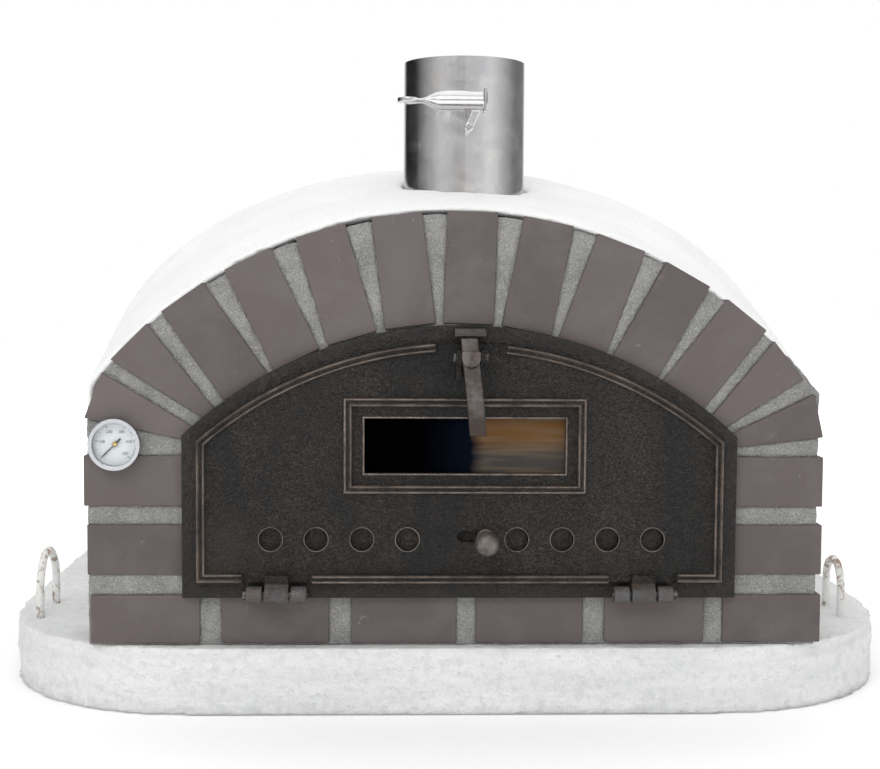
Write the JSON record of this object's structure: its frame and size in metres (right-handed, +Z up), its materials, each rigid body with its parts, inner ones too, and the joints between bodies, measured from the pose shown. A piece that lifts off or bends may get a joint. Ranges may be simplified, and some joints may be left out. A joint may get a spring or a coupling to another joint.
{
  "type": "wood fired pizza oven",
  "caption": "Rendered dome oven on a concrete slab, with a brick arch front, a cast iron drop door with window and air vents, a steel flue with damper and a dial thermometer.",
  "frame": {"origin": "centre of the slab's underside, where the oven stands", "axes": "+X to the viewer's right facing the door, +Y from the door to the back, +Z up"},
  "size_m": [0.99, 1.0544, 0.704],
  "materials": {
    "white_render": "rough trowelled white cement render",
    "insulation": "soft mineral fibre",
    "fire_brick": "matt fire clay",
    "facing_brick": "smooth matt dark brown brick",
    "mortar": "coarse sand and cement",
    "cast_iron": "black stove paint, worn brown on the edges",
    "worn_iron": "bare cast iron, rubbed and slightly rusted",
    "plain_steel": "bright zinc plated steel",
    "loop_steel": "whitewashed steel rod with rust showing",
    "stainless": "brushed stainless steel",
    "clear_glass": "clear polished",
    "window_glass": "dark ceramic glass",
    "dial_white": "satin white enamel with black marks",
    "pointer_black": "matt black"
  },
  "bodies": {
    "oven": {"base_slab": "white_render", "lifting_loop_front_left": "loop_steel", "lifting_loop_front_right": "loop_steel", "lifting_loop_rear_left": "loop_steel", "lifting_loop_rear_right": "loop_steel", "hearth_insulation": "insulation", "hearth_tiles": "fire_brick", "dome_wall_bricks": "fire_brick", "dome_vault_bricks": "fire_brick", "dome_crown_brick": "fire_brick", "mouth_jamb_left": "fire_brick", "mouth_jamb_right": "fire_brick", "mouth_lintel": "fire_brick", "insulation_blanket": "insulation", "outer_render": "white_render", "arch_bricks": "facing_brick", "side_bricks": "facing_brick", "sill_bricks": "facing_brick", "front_mortar": "mortar", "door_frame": "cast_iron", "latch_keeper": "cast_iron", "hinge_pin_left": "plain_steel", "hinge_pin_right": "plain_steel", "flue_pipe": "stainless", "thermometer_case": "stainless", "thermometer_bezel": "stainless", "thermometer_glass": "clear_glass", "thermometer_dial": "dial_white", "thermometer_stem": "stainless"},
    "door": {"door_leaf": "cast_iron", "window_glass": "window_glass", "glass_retainer": "cast_iron", "retainer_screws": "plain_steel", "shutter_guides": "cast_iron", "shutter_guide_screws": "plain_steel", "latch_pin": "plain_steel"},
    "latch": {"latch_lever": "worn_iron"},
    "shutter": {"vent_shutter": "cast_iron", "vent_knob": "worn_iron"},
    "damper": {"damper_spindle": "stainless", "damper_disc": "stainless", "damper_disc_screws": "stainless", "damper_handle": "stainless"},
    "pointer": {"thermometer_pointer": "pointer_black"}
  },
  "joints": [
    {"name": "door_hinge", "type": "hinge", "parent": "oven", "child": "door", "pos_m": [0.1925, -0.508, 0.127], "axis": [1, 0, 0], "range_deg": [0, 90]},
    {"name": "latch_pivot", "type": "hinge", "parent": "door", "child": "latch", "pos_m": [0.013, -0.5234, 0.37], "axis": [-1, 0, 0], "range_deg": [0, 30]},
    {"name": "shutter_slide", "type": "slide", "parent": "door", "child": "shutter", "axis": [-1, 0, 0], "range_m": [0, 0.02325]},
    {"name": "damper_turn", "type": "hinge", "parent": "oven", "child": "damper", "pos_m": [0.0185, -0.227, 0.618], "axis": [0, 1, 0], "range_deg": [0, 90]},
    {"name": "pointer_turn", "type": "hinge", "parent": "oven", "child": "pointer", "pos_m": [-0.3475, -0.498, 0.279], "axis": [0, 1, 0], "range_deg": [0, 270]}
  ]
}
